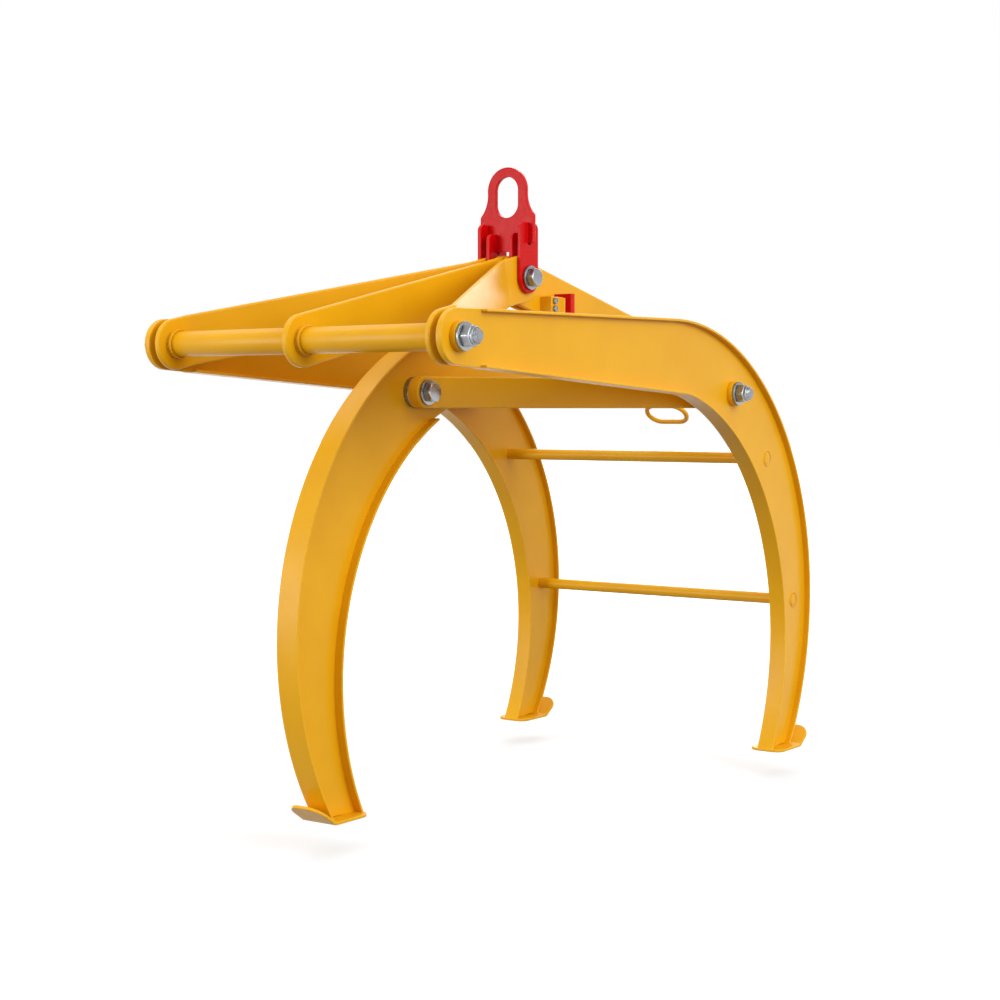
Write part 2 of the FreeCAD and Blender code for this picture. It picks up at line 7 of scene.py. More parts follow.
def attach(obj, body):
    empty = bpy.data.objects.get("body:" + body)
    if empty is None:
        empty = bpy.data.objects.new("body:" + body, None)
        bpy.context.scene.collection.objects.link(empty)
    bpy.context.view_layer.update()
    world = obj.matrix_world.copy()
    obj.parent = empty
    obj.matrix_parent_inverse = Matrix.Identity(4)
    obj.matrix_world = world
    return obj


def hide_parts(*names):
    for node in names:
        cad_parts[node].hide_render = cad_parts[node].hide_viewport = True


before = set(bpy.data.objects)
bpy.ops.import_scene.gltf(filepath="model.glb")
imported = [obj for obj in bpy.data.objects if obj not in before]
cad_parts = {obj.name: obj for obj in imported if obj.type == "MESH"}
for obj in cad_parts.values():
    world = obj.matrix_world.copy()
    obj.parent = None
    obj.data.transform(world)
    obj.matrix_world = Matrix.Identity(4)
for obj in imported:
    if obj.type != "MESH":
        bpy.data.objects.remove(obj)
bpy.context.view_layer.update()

# Web plates of the three claws: sickle-shaped steel plate, 12 mm on the pair and 14 mm on the single claw.
# Each is cut out by torch, let in between its flange bars, bored for its two pins, welded and then sprayed
# amber with the rest of the frame.
claw_pivot = np.array([331.0, 797.0])
arm_eye = np.array([-647.0, 888.0])
arm_eye_radius = 48.5
back_centre = np.array([80.0, 334.0])
back_radius = 612.0
jaw_centre = np.array([10.0, 252.0])
jaw_radius = 554.0
knee_radius = 120.0
knee_offset = 100.4
knee_centre = jaw_centre + [knee_offset, np.sqrt((jaw_radius - knee_radius) ** 2 - knee_offset ** 2)]
foot_thickness = 6.0
flange_thickness = 5.0
flange_start = 67.0
claw_plane = 347.0
web_thickness = 12.0
single_web_thickness = 14.0
let_in = 3.0
cut_edge_round = 0.9
rim_margin = 2.5


def touching_normal(centre_a, radius_a, centre_b, radius_b, turn):
    """Unit normal of the line that touches two circles: the heading of the line between their centres,
    turned by the angle whose cosine is the difference of the radii over the distance."""
    run = centre_b - centre_a
    angle = np.arctan2(run[1], run[0]) + turn * np.arccos((radius_a - radius_b) / np.hypot(*run))
    return np.array([np.cos(angle), np.sin(angle)])


def route(start, heading, pieces):
    """Route of straight and round runs: rows of start x, start z, heading, length and curvature. A run's end
    is its start plus the integral of its heading, which turns by curvature for each millimetre."""
    rows = []
    for length, curvature in pieces:
        rows.append([start[0], start[1], heading, length, curvature])
        start = along(np.array(rows[-1:]), np.array([length]))[0][0]
        heading = heading + length * curvature
    return np.array(rows)


def along(runs, s):
    """Points and left normals at distances s: straight on where the curvature k is nought, and otherwise
    start + (sin(h + k s) - sin h, cos h - cos(h + k s)) / k."""
    starts = np.concatenate([[0.0], np.cumsum(runs[:-1, 3])])
    row = runs[np.clip(np.searchsorted(starts, s, side="right") - 1, 0, len(runs) - 1)]
    d = s - starts[np.clip(np.searchsorted(starts, s, side="right") - 1, 0, len(runs) - 1)]
    h, k = row[:, 2], row[:, 4]
    safe = np.where(np.abs(k) < 1e-9, 1.0, k)
    x = np.where(np.abs(k) < 1e-9, d * np.cos(h), (np.sin(h + k * d) - np.sin(h)) / safe)
    z = np.where(np.abs(k) < 1e-9, d * np.sin(h), (np.cos(h) - np.cos(h + k * d)) / safe)
    turned = h + k * d
    return row[:, :2] + np.stack([x, z], 1), np.stack([-np.sin(turned), np.cos(turned)], 1)


def route_length(runs):
    return runs[:, 3].sum()


def foot_angle(centre, radius, z):
    return np.arcsin((z - centre[1]) / radius)


arm_up = touching_normal(arm_eye, arm_eye_radius, back_centre, back_radius, 1)
arm_down = touching_normal(arm_eye, arm_eye_radius, knee_centre, -knee_radius, -1)
knee_dir = (knee_centre - jaw_centre) / np.hypot(*(knee_centre - jaw_centre))


def back_route(end_z):
    """Top of the arm from the eye's rim, then the back arc down to the height end_z."""
    first = arm_eye + arm_up * arm_eye_radius
    touch = back_centre + arm_up * back_radius
    sweep = np.arctan2(arm_up[1], arm_up[0]) - foot_angle(back_centre, back_radius, end_z)
    run = touch - first
    return route(first, np.arctan2(run[1], run[0]),
                 [(np.hypot(*run), 0.0), (back_radius * sweep, -1 / back_radius)])


def jaw_route(end_z):
    """Underside of the arm from the eye's rim, then the knee and the jaw arc down to the height end_z."""
    first = arm_eye + arm_down * arm_eye_radius
    touch = knee_centre - arm_down * knee_radius
    knee_sweep = np.arctan2(-arm_down[1], -arm_down[0]) - np.arctan2(knee_dir[1], knee_dir[0])
    jaw_sweep = np.arctan2(knee_dir[1], knee_dir[0]) - foot_angle(jaw_centre, jaw_radius, end_z)
    run = touch - first
    return route(first, np.arctan2(run[1], run[0]),
                 [(np.hypot(*run), 0.0), (knee_radius * knee_sweep, -1 / knee_radius),
                  (jaw_radius * jaw_sweep, -1 / jaw_radius)])


def circle(centre, radius, first, last, count):
    """Points on a circle between two angles in radians: centre + radius (cos, sin)."""
    a = np.linspace(first, last, count)
    return centre + radius * np.stack([np.cos(a), np.sin(a)], 1)


def inset(loop, distance):
    """Closed loop moved inwards: each point goes along the mean of its two edges' normals, further at a
    corner, so that both edges move by the same distance. The loop runs anticlockwise."""
    ahead = np.roll(loop, -1, 0) - loop
    ahead = ahead / np.linalg.norm(ahead, axis=1)[:, None]
    normal = np.stack([-ahead[:, 1], ahead[:, 0]], 1)
    before = np.roll(normal, 1, 0)
    both = normal + before
    return loop + distance * both / (1 + (normal * before).sum(1))[:, None]


def rim_levels(thickness, edge):
    """Inset and height of the rings that round both rims of a plate: quarter circles of radius edge,
    with one more ring rim_margin further in on each face."""
    a = np.linspace(0, np.pi / 2, 4)
    quarter = np.stack([edge * (1 - np.sin(a)), edge * (1 - np.cos(a))], 1)
    low = np.concatenate([[[edge + rim_margin, 0.0]], quarter])
    high = low[::-1] * [1, -1] + [0, thickness]
    return np.concatenate([low, high])


def rounded_plate(loop, thickness, edge=cut_edge_round, straps=False, hole=None):
    """Plate over a closed loop in its own plane, as points (u, v, height): rings of the loop, inset and raised
    by rim_levels, then its two faces. Straps close a face with strips from the loop's first half to its
    second, which lets the plate bend; a hole of as many points gets rings of its own, outwards."""
    count = len(loop)
    levels = rim_levels(thickness, edge)
    rings = [np.column_stack([inset(loop, d), np.full(count, h)]) for d, h in levels]
    if hole is not None:
        rings += [np.column_stack([inset(hole, -d), np.full(count, h)]) for d, h in levels]
    points = np.concatenate(rings)
    # Rim points get 1: the enamel paints them lighter, as wear and as a painted highlight along the edges.
    rim_wear_and_highlight = np.concatenate([np.full(count, 1.0 if d < edge + rim_margin else 0.0) for d, h in levels])
    i = np.arange(count)
    after = (i + 1) % count
    faces = []
    for start in (0, len(levels)) if hole is not None else (0,):
        for k in range(start, start + len(levels) - 1):
            faces += np.stack([i + k * count, after + k * count, after + (k + 1) * count, i + (k + 1) * count], 1).tolist()
    last = len(levels) - 1
    for ring in (0, last):
        base = ring * count
        if hole is not None:
            other = base + len(levels) * count
            faces += np.stack([i + base, after + base, after + other, i + other], 1).tolist()
        elif straps:
            j = np.arange(count // 2 - 1)
            k = count - 1 - j
            faces += (np.stack([j, j + 1, k - 1, k], 1) + base).tolist()
        else:
            faces.append((i + base).tolist())
    if hole is not None:
        rim_wear_and_highlight = np.concatenate([rim_wear_and_highlight, rim_wear_and_highlight])
    return points, faces, rim_wear_and_highlight


def at_side(shape, y, mirror_x=False):
    """A plate drawn in its own plane set upright: u to X, v to Z and its height to Y from y."""
    points, faces, rim_wear_and_highlight = shape
    x = -points[:, 0] if mirror_x else points[:, 0]
    return np.column_stack([x, points[:, 2] + y, points[:, 1]]), faces, rim_wear_and_highlight


def far_side(shape):
    """The same shape mirrored about Y = 0."""
    points, faces, rim_wear_and_highlight = shape
    return points * [1, -1, 1], faces, rim_wear_and_highlight


def other_jaw(shape):
    """The same shape mirrored about X = 0."""
    points, faces, rim_wear_and_highlight = shape
    return points * [-1, 1, 1], faces, rim_wear_and_highlight


def joined(shapes):
    """Several shapes as one list of points and faces."""
    offsets = np.cumsum([0] + [len(points) for points, faces, rim_wear_and_highlight in shapes[:-1]])
    faces = [[index + int(o) for index in face] for o, shape in zip(offsets, shapes) for face in shape[1]]
    return np.concatenate([s[0] for s in shapes]), faces, np.concatenate([s[2] for s in shapes])


def piece(name, shape, material, body, replaces=(), sharp=40.0):
    """A mesh object in metres from points in millimetres, with outward normals, soft shading up to the angle
    sharp, the rim attribute that marks edge wear and the painted edge highlight, its material, and what it
    rides on, takes its finish from and stands for."""
    points, faces, rim_wear_and_highlight = shape
    mesh = bpy.data.meshes.new(name)
    mesh.from_pydata((points * 0.001).tolist(), [], faces)
    mesh.attributes.new("rim_wear_and_highlight", "FLOAT", "POINT").data.foreach_set("value", rim_wear_and_highlight.astype(np.float32))
    work = bmesh.new()
    work.from_mesh(mesh)
    bmesh.ops.remove_doubles(work, verts=work.verts, dist=1e-6)
    bmesh.ops.recalc_face_normals(work, faces=work.faces)
    work.to_mesh(mesh)
    work.free()
    mesh.polygons.foreach_set("use_smooth", np.ones(len(mesh.polygons), bool))
    mesh.set_sharp_from_angle(angle=np.radians(sharp))
    mesh.materials.append(material)
    obj = bpy.data.objects.new(name, mesh)
    bpy.context.scene.collection.objects.link(obj)
    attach(obj, body)
    if replaces:
        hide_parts(*replaces)
    return obj


def linear(hex_colour):
    """sRGB hex to linear colour: c / 12.92 below 0.04045, and otherwise ((c + 0.055) / 1.055) to the power 2.4."""
    c = np.array([int(hex_colour[i:i + 2], 16) for i in (1, 3, 5)]) / 255
    return (*np.where(c <= 0.04045, c / 12.92, ((c + 0.055) / 1.055) ** 2.4).tolist(), 1.0)


def add(tree, kind, inputs=(), **settings):
    """Adds a node, sets its settings, and gives each named or numbered input its value or link."""
    node = tree.nodes.new(kind)
    for key, value in settings.items():
        setattr(node, key, value)
    for key, value in dict(inputs).items():
        if isinstance(value, bpy.types.NodeSocket):
            tree.links.new(value, node.inputs[key])
        else:
            node.inputs[key].default_value = value
    return node


# Semi-gloss alkyd machine enamel, sprayed on blasted steel in one coat: amber, with orange-peel waves about
# 3 mm long, a film that is thinner and duller along the cut edges, and faint dust drift over a hand's width.
# The rounded rims are also painted a lighter colour: partly that wear, partly a painted highlight along the
# edges. To the eye it is a clean strong colour with a soft, slightly wavy highlight.
peel_length = 0.003
drift_length = 0.14
scuff_length = 0.012


def machine_enamel(name, colour, deep_colour, rim_wear_and_highlight_colour, gloss, specular):
    material = bpy.data.materials.new(name)
    material.use_nodes = True
    tree = material.node_tree
    tree.nodes.clear()
    place = add(tree, "ShaderNodeTexCoord").outputs["Object"]
    peel = add(tree, "ShaderNodeTexNoise", {"Vector": place, "Scale": 1 / peel_length, "Detail": 1.5, "Roughness": 0.4})
    drift = add(tree, "ShaderNodeTexNoise", {"Vector": place, "Scale": 1 / drift_length, "Detail": 4.0})
    scuff = add(tree, "ShaderNodeTexNoise", {"Vector": place, "Scale": 1 / scuff_length, "Detail": 3.0})
    # Rims mix toward the lighter rim colour and a rougher finish: worn, thinner paint plus a painted highlight.
    rim_wear_and_highlight = add(tree, "ShaderNodeAttribute", attribute_name="rim_wear_and_highlight")
    rim = add(tree, "ShaderNodeMath", {0: rim_wear_and_highlight.outputs["Fac"], 1: scuff.outputs["Fac"]}, operation="MULTIPLY")
    rim_share = add(tree, "ShaderNodeMapRange", {"Value": rim.outputs[0], "From Min": 0.3, "From Max": 0.85, "To Max": 0.5})
    film = add(tree, "ShaderNodeMapRange", {"Value": drift.outputs["Fac"], "From Min": 0.35, "From Max": 0.7})
    tone = add(tree, "ShaderNodeMix", {"Factor": film.outputs[0], "A": linear(colour), "B": linear(deep_colour)},
               data_type="RGBA")
    paint = add(tree, "ShaderNodeMix", {"Factor": rim_share.outputs[0], "A": tone.outputs["Result"],
                                        "B": linear(rim_wear_and_highlight_colour)}, data_type="RGBA")
    dull = add(tree, "ShaderNodeMapRange", {"Value": scuff.outputs["Fac"], "From Min": 0.3, "From Max": 0.75,
                                            "To Min": gloss, "To Max": gloss + 0.12})
    rough = add(tree, "ShaderNodeMath", {0: rim_share.outputs[0], 1: 0.25, 2: dull.outputs[0]}, operation="MULTIPLY_ADD")
    waves = add(tree, "ShaderNodeBump", {"Height": peel.outputs["Fac"], "Strength": 0.35, "Distance": 0.00012})
    slow = add(tree, "ShaderNodeBump", {"Height": drift.outputs["Fac"], "Strength": 0.3, "Distance": 0.0012,
                                        "Normal": waves.outputs["Normal"]})
    shader = add(tree, "ShaderNodeBsdfPrincipled", {
        "Base Color": paint.outputs["Result"], "Roughness": rough.outputs[0], "IOR": 1.5,
        "Specular IOR Level": specular, "Normal": slow.outputs["Normal"]})
    add(tree, "ShaderNodeOutputMaterial", {"Surface": shader.outputs["BSDF"]})
    return material


amber_enamel = machine_enamel("amber_machine_enamel", "#E8AA0E", "#E1A20A", "#F4BE34", 0.28, 0.2)


def web_loop(eye_side_end, flanged):
    """Closed outline of a web: the eye's round end, the top and back, the sole, then the jaw side back to the
    eye. Where flanged(route name, distance) holds, the edge lies let_in deep, inside the flange bar."""
    top, low = back_route(foot_thickness), jaw_route(foot_thickness)
    sides = []
    for name, runs, inward in (("back", top, -1.0), ("jaw", low, 1.0)):
        s = np.concatenate([np.linspace(0, runs[0, 3], 30), runs[0, 3] + np.linspace(0, route_length(runs) - runs[0, 3], 110)[1:]])
        steps = np.array(flanged[name])
        s = np.sort(np.concatenate([s, steps, steps + 0.01]))
        deep = (np.searchsorted(steps, s, side="left") % 2) * let_in
        points, normals = along(runs, s)
        sides.append(points + normals * (inward * deep)[:, None])
    first = np.arctan2(arm_up[1], arm_up[0])
    last = np.arctan2(arm_down[1], arm_down[0]) + 2 * np.pi
    end = circle(arm_eye, arm_eye_radius, first, last, eye_side_end)[1:-1]
    return np.concatenate([sides[1], sides[0][::-1], end])


pair_flanges = {"back": [flange_start], "jaw": [flange_start]}
pair_web = rounded_plate(web_loop(40, pair_flanges), web_thickness)
near_web = at_side(pair_web, -claw_plane - web_thickness / 2)
piece("near_web_plate", near_web, amber_enamel, "claw_pair", ["near_claw_web"])
piece("far_web_plate", far_side(near_web), amber_enamel, "claw_pair", ["far_claw_web"])

single_back_start = 647.0 - 168.0
jaw_runs = jaw_route(foot_thickness)
jaw_s = np.linspace(0, route_length(jaw_runs), 4000)
jaw_x = along(jaw_runs, jaw_s)[0][:, 0]
arm_flange_end = float(np.interp(215.0, jaw_x, jaw_s))
leg_flange_start = float(np.interp(268.0, jaw_x, jaw_s))
single_loop = web_loop(40, {"back": [single_back_start], "jaw": [flange_start, arm_flange_end, leg_flange_start]})
single_web = at_side(rounded_plate(single_loop, single_web_thickness), -single_web_thickness / 2, True)
piece("single_web_plate", single_web, amber_enamel, "single_claw", ["single_claw_web"])

# Flange bars of the claws: flat bar 5 mm thick, 38 mm wide on the pair and 50 mm on the single claw, rolled to
# the web's edge and set square on it. The single claw has none on the stretch that the tie bars pass.
pair_flange_width = 38.0
single_flange_width = 50.0
bar_edge_round = 1.2


def bent_bar(runs, width, thickness, start, end, side):
    """Flat bar carried along a route: a long rectangle with rounded rims, whose length is the distance along
    the route and whose height goes to the side +1 or -1 of it."""
    s = np.linspace(start, end, max(12, int((end - start) / 9)))
    half = np.full(len(s), width / 2)
    loop = np.concatenate([np.column_stack([s, -half]), np.column_stack([s[::-1], half])])
    points, faces, rim_wear_and_highlight = rounded_plate(loop, thickness, bar_edge_round, straps=True)
    on_route, normal = along(runs, points[:, 0])
    place = on_route + normal * (side * points[:, 2])[:, None]
    return np.column_stack([place[:, 0], points[:, 1], place[:, 1]]), faces, rim_wear_and_highlight


def moved(shape, y):
    points, faces, rim_wear_and_highlight = shape
    return points + [0, y, 0], faces, rim_wear_and_highlight


into_foot = 3.0
back_runs = back_route(foot_thickness)
back_end = route_length(back_runs) + into_foot
jaw_end = route_length(jaw_runs) + into_foot
pair_back = moved(bent_bar(back_runs, pair_flange_width, flange_thickness, flange_start, back_end, -1), -claw_plane)
pair_jaw = moved(bent_bar(jaw_runs, pair_flange_width, flange_thickness, flange_start, jaw_end, 1), -claw_plane)
for side_name, turn in (("near", lambda shape: shape), ("far", far_side)):
    piece(side_name + "_back_bar", turn(pair_back), amber_enamel, "claw_pair", [side_name + "_back_flange"])
    piece(side_name + "_jaw_bar", turn(pair_jaw), amber_enamel, "claw_pair", [side_name + "_jaw_flange"])
for name, runs, start, end, side in (("back", back_runs, single_back_start, back_end, -1),
                                     ("leg", jaw_runs, leg_flange_start, jaw_end, 1),
                                     ("arm", jaw_runs, flange_start, arm_flange_end, 1)):
    shape = other_jaw(bent_bar(runs, single_flange_width, flange_thickness, start, end, side))
    piece("single_" + name + "_bar", shape, amber_enamel, "single_claw", ["single_" + name + "_flange"])

# Feet: flat plate 6 mm thick and 81 mm wide under each claw, its heel corners rounded, and its outer end bent up
# to a broad round-cornered toe that slides under the rock. It is welded to the web and both flanges.
foot_width = 81.0
foot_inner = 502.3
foot_bend = 604.8
toe_length = 62.0
toe_angle = np.radians(35.0)
toe_bend = 9.0
heel_corner = 23.5
toe_corner = 32.0


def foot_shape():
    """Flat blank with four rounded corners, carried along the sole, the toe's bend and the toe."""
    cut = toe_bend * np.tan(toe_angle / 2)
    runs = [(foot_bend - foot_inner - cut, 0.0), (toe_bend * toe_angle, 1 / toe_bend), (toe_length - cut, 0.0)]
    length = sum(run for run, curvature in runs)
    half = foot_width / 2
    middle = np.linspace(heel_corner, length - toe_corner, 60)[1:-1]
    lower = np.concatenate([
        circle(np.array([heel_corner, heel_corner - half]), heel_corner, np.pi, 1.5 * np.pi, 10),
        np.column_stack([middle, np.full(len(middle), -half)]),
        circle(np.array([length - toe_corner, toe_corner - half]), toe_corner, 1.5 * np.pi, 2 * np.pi, 14),
    ])
    loop = np.concatenate([lower, (lower * [1, -1])[::-1]])
    points, faces, rim_wear_and_highlight = rounded_plate(loop, foot_thickness, bar_edge_round, straps=True)
    on_route, normal = along(route([foot_inner, 0.0], 0.0, runs), points[:, 0])
    place = on_route + normal * points[:, 2:]
    return np.column_stack([place[:, 0], points[:, 1], place[:, 1]]), faces, rim_wear_and_highlight


near_foot = moved(foot_shape(), -claw_plane)
piece("near_foot_plate", near_foot, amber_enamel, "claw_pair", ["near_foot"])
piece("far_foot_plate", far_side(near_foot), amber_enamel, "claw_pair", ["far_foot"])
piece("single_foot_plate", other_jaw(foot_shape()), amber_enamel, "single_claw", ["single_foot"])

# Cross rods: 25 mm round bar into both webs of the pair, plug-welded outside, where the ground bead leaves a
# faint ring. Bosses: short thick rings, welded to the outside of the webs round the pivot and the shaft.
cross_rod_radius = 12.7
rods = {"upper": (493.0, 655.0), "lower": (628.0, 330.0)}
web_outer = claw_plane + web_thickness / 2
web_inner = claw_plane - web_thickness / 2
boss_radius = 26.0
boss_outer = web_outer + 11.0
bolt_radius = 12.0
turning_gap = 0.1


def turned(profile, x, z, count=72):
    """Surface turned about an axis along Y through (x, z): each (radius, y) of the closed or pole-to-pole
    profile goes round in count steps."""
    profile = np.asarray(profile, float)
    a = np.linspace(0, 2 * np.pi, count, endpoint=False)
    ring = np.stack([np.cos(a), np.zeros(count), np.sin(a)], 1)
    points = profile[:, :1, None] * ring[None] + np.stack([np.zeros(len(profile)), profile[:, 1], np.zeros(len(profile))], 1)[:, None]
    points = points.reshape(-1, 3) + [x, 0, z]
    return points, grid_faces(len(profile), count, not is_open(profile)), np.zeros(len(points))


def is_open(profile):
    """A profile that starts and ends on the axis closes itself at its poles."""
    return profile[0, 0] == 0 and profile[-1, 0] == 0


def grid_faces(rows, count, closed_rows):
    """Quads of a grid of rows by count points, round in count and, if asked, in rows as well."""
    i, j = np.meshgrid(np.arange(rows if closed_rows else rows - 1), np.arange(count), indexing="ij")
    below, right = (i + 1) % rows, (j + 1) % count
    return np.stack([i * count + j, i * count + right, below * count + right, below * count + j], -1).reshape(-1, 4).tolist()


def collar_profile(inner, outer, y_low, y_high, edge):
    """Cross-section of a ring: a rectangle whose two outer corners are quarter circles of radius edge."""
    a = np.linspace(0, np.pi / 2, 4)
    low = np.column_stack([outer - edge + edge * np.sin(a), y_low + edge - edge * np.cos(a)])
    high = np.column_stack([outer - edge + edge * np.cos(a), y_high - edge + edge * np.sin(a)])
    return np.concatenate([[[inner, y_low]], low, high, [[inner, y_high]]])


plug_profile = [(0, 1.5), (13.3, 1.5), (13.9, 1.2), (14.1, 0.05), (15.4, 0.05), (15.6, 1.2), (16.1, 1.5),
                (17.2, 1.3), (18.3, 0.6), (18.9, 0.0), (18.9, -0.4), (0, -0.4)]
plugs = []
for name, (x, z) in rods.items():
    rod_end = web_outer - 2.0
    rod = turned([(0, -rod_end), (cross_rod_radius, -rod_end), (cross_rod_radius, 0), (cross_rod_radius, rod_end), (0, rod_end)], x, z, 64)
    piece(name + "_round_bar", rod, amber_enamel, "claw_pair", [name + "_cross_rod"])
    plug = turned([(radius, -web_outer - rise) for radius, rise in plug_profile], x, z, 64)
    plugs += [plug, far_side(plug)]
piece("rod_plug_welds", joined(plugs), amber_enamel, "claw_pair")
for name, x, z in (("pivot", *claw_pivot), ("shaft", *arm_eye)):
    ring = turned(collar_profile(bolt_radius + turning_gap, boss_radius, -boss_outer, -web_outer, 1.5), x, z)
    piece("near_" + name + "_ring", ring, amber_enamel, "claw_pair", ["near_" + name + "_boss"])
    piece("far_" + name + "_ring", far_side(ring), amber_enamel, "claw_pair", ["far_" + name + "_boss"])

# Tie bars: two flat bars 25 mm thick and 62 mm deep, rounded at both ends. They lie close beside the single
# claw and are bent outwards to the two claws of the pair, and carry the pivot bolts.
tie_thickness = 25.0
tie_end_radius = 31.0
tie_straight_end = 40.0
tie_bend_radius = 26.5
strap_edge_round = 2.6
tie_plane_single = single_web_thickness / 2 + 0.3 + 10.0 + tie_thickness / 2
tie_plane_pair = web_inner - 1.0 - tie_thickness / 2


def round_ended_loop(length, radius):
    """Outline of a strip with half-round ends, its two pin centres at 0 and at length, symmetrical about the
    line between them; the ends' points stand half a step off that line."""
    step = np.pi / 24
    quarter = np.arange(step / 2, np.pi / 2, step)
    start = np.column_stack([-radius * np.cos(quarter), -radius * np.sin(quarter)])
    middle = np.column_stack([np.linspace(0, length, int(length / 6)), np.full(int(length / 6), -radius)])
    end = np.column_stack([length + radius * np.sin(quarter), -radius * np.cos(quarter)])
    lower = np.concatenate([start, middle, end])
    return np.concatenate([lower, (lower * [1, -1])[::-1]])


def bent_strap(plan, radius, thickness, bend_radius):
    """Round-ended strap on edge, carried along a plan route of straight runs joined by round bends. Its pins
    are at the plan's first and last points."""
    plan = np.array(plan, float)
    runs = np.diff(plan, axis=0)
    headings = np.arctan2(runs[:, 1], runs[:, 0])
    turns = np.diff(headings)
    cuts = bend_radius * np.tan(np.abs(turns) / 2)
    lengths = np.linalg.norm(runs, axis=1) - np.concatenate([[0], cuts]) - np.concatenate([cuts, [0]])
    parts = [(lengths[0], 0.0)]
    for turn, length in zip(turns, lengths[1:]):
        parts += [(bend_radius * abs(turn), np.sign(turn) / bend_radius), (length, 0.0)]
    line = route(plan[0], headings[0], parts)
    points, faces, rim_wear_and_highlight = rounded_plate(round_ended_loop(route_length(line), radius), thickness, strap_edge_round, straps=True)
    on_line, normal = along(line, points[:, 0])
    place = on_line + normal * (points[:, 2:] - thickness / 2)
    return np.column_stack([place, points[:, 1]]), faces, rim_wear_and_highlight


tie_bend_x = claw_pivot[0] - tie_straight_end
tie_shape = bent_strap([(-claw_pivot[0], -tie_plane_single), (-tie_bend_x, -tie_plane_single),
                        (tie_bend_x, -tie_plane_pair), (claw_pivot[0], -tie_plane_pair)],
                       tie_end_radius, tie_thickness, tie_bend_radius)
tie_shape = (tie_shape[0] + [0, 0, claw_pivot[1]], *tie_shape[1:])
piece("near_tie_strap", tie_shape, amber_enamel, "tie_frame", ["near_tie_bar"])
piece("far_tie_strap", far_side(tie_shape), amber_enamel, "tie_frame", ["far_tie_bar"])

# Upper links: flat bar 97 mm deep with round ends. The pair side has one straight 12 mm plate in the middle and
# a 10 mm plate each side, bent in from the shaft's ends to the hanger; the single side has two straight plates.
link_half = 48.5
link_thickness = 10.0
middle_thickness = 12.0
top_pin_z = 1036.0
link_outer = web_inner - 14.0
link_plane = link_outer - link_thickness / 2
top_link_plane = 40.0
plain_inner = middle_thickness / 2 + 2.0
plain_outer = plain_inner + link_thickness
link_slope = np.arctan2(top_pin_z - arm_eye[1], -arm_eye[0])
link_length = np.hypot(arm_eye[0], top_pin_z - arm_eye[1])


def sloped(shape):
    """A link drawn along X from its lower pin, turned up by the links' slope and moved to the shaft."""
    points, faces, rim_wear_and_highlight = shape
    c, s = np.cos(link_slope), np.sin(link_slope)
    x = arm_eye[0] + c * points[:, 0] - s * points[:, 2]
    z = arm_eye[1] + s * points[:, 0] + c * points[:, 2]
    return np.column_stack([x, points[:, 1], z]), faces, rim_wear_and_highlight


def straight_link(y_low, thickness):
    points, faces, rim_wear_and_highlight = rounded_plate(round_ended_loop(link_length, link_half), thickness, strap_edge_round)
    return sloped((np.column_stack([points[:, 0], points[:, 2] + y_low, points[:, 1]]), faces, rim_wear_and_highlight))


bent = sloped(bent_strap([(0, -link_plane), (38.0, -link_plane), (link_length - 70.0, -top_link_plane),
                          (link_length, -top_link_plane)], link_half, link_thickness, 17.0))
piece("near_bent_strap", bent, amber_enamel, "bent_links", ["near_bent_link"])
piece("far_bent_strap", far_side(bent), amber_enamel, "bent_links", ["far_bent_link"])
piece("middle_strap", straight_link(-middle_thickness / 2, middle_thickness), amber_enamel, "bent_links",
      ["middle_link"])
plain = other_jaw(straight_link(-plain_outer, link_thickness))
piece("near_plain_strap", plain, amber_enamel, "plain_links", ["near_plain_link"])
piece("far_plain_strap", far_side(plain), amber_enamel, "plain_links", ["far_plain_link"])

# Shaft tubes: 48.3 mm pipe between the links on the long shaft bolt, with a 56 mm collar ring pushed over each
# end and welded to the link beside it.
tube_radius = 24.15
collar_radius = 28.0
collar_length = 12.0
link_inner = link_outer - link_thickness
tube = turned(collar_profile(tube_radius - 5.0, tube_radius, -link_inner, -middle_thickness / 2, 0.3), *arm_eye)
piece("near_shaft_pipe", tube, amber_enamel, "bent_links", ["near_shaft_tube"])
piece("far_shaft_pipe", far_side(tube), amber_enamel, "bent_links", ["far_shaft_tube"])
collar_lip = 3.0
collar_groove = 1.8


def grooved_collar(face, away):
    """Ring from the link's face: a lip, a groove down to the tube, and a wider round-edged ring."""
    steps = [(0.0, tube_radius), (0.0, 26.6), (0.6, 27.2), (collar_lip - 0.6, 27.2), (collar_lip, 26.6),
             (collar_lip, 24.5), (collar_lip + collar_groove, 24.5), (collar_lip + collar_groove, 27.0),
             (collar_lip + collar_groove + 1.0, collar_radius), (collar_length - 1.6, collar_radius),
             (collar_length - 0.5, 27.4), (collar_length, 26.8), (collar_length - 1.8, 25.4),
             (collar_length - 1.8, tube_radius)]
    return turned([(radius, face + away * step) for step, radius in steps], *arm_eye)


near_collars = [grooved_collar(-link_inner, 1), grooved_collar(-middle_thickness / 2, -1)]
piece("shaft_collar_rings", joined(near_collars + [far_side(c) for c in near_collars]), amber_enamel, "bent_links",
      ["shaft_collars"])

# Bolts, nuts, washers, bushes and spacers: M24 fasteners of zinc-plated steel, clear-passivated. The zinc gives
# a fine-grained satin grey with faint cloudy patches; threads show only past the nuts, which have a nylon ring.
washer_radius = 25.0
washer_thickness = 6.0
bush_radius = 30.0
nut_height = 17.0
nut_collar_height = 5.0
thread_end = 6.0
head_height = 15.0
thread_pitch = 3.0
thread_depth = 1.6
hex_flats = 36.0
face_gap = 0.3
zinc_grain = 0.0012
zinc_cloud = 0.018


